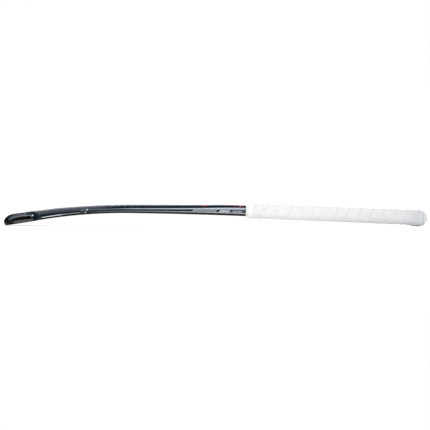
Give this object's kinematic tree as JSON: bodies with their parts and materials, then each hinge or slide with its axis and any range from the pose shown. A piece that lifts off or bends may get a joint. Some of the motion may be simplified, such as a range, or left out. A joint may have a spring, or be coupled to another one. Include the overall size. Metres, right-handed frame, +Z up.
{
  "type": "field hockey stick",
  "caption": "Composite field hockey stick with a short J-shaped hook, flat face, rounded back, bowed shaft and a wound cushion grip with a rounded butt knob.",
  "frame": {"origin": "under the middle of the stick, on the surface that it lies on with its playing face down", "axes": "+X from the hook to the butt, -Y to the side that the toe points to, +Z up through the rounded back"},
  "size_m": [0.927, 0.117, 0.0495],
  "materials": {
    "painted_laminate": "navy and black paint under clear gloss lacquer over carbon laminate",
    "plate_laminate": "cured carbon laminate",
    "core_foam": "rigid foamed core",
    "tube_laminate": "bladder-moulded carbon and glass laminate",
    "aramid_strip": "woven aramid set in resin",
    "damping_foam": "soft closed-cell foam",
    "plug_plastic": "moulded plastic",
    "knob_rubber": "matt moulded rubber",
    "underlay_foam": "thin foam sleeve",
    "grip_tape": "soft synthetic cushion tape",
    "band_tape": "smooth adhesive tape"
  },
  "bodies": {
    "root": {"outer_laminate": "painted_laminate", "strike_plate": "plate_laminate", "hook_core": "core_foam", "centre_web": "tube_laminate", "edge_strip": "aramid_strip", "toe_tube": "tube_laminate", "heel_tube": "tube_laminate", "toe_foam": "damping_foam", "heel_foam": "damping_foam", "butt_plug": "plug_plastic", "butt_knob": "knob_rubber", "handle_underlay": "underlay_foam", "cushion_grip": "grip_tape", "finishing_tape": "band_tape"}
  },
  "joints": []
}
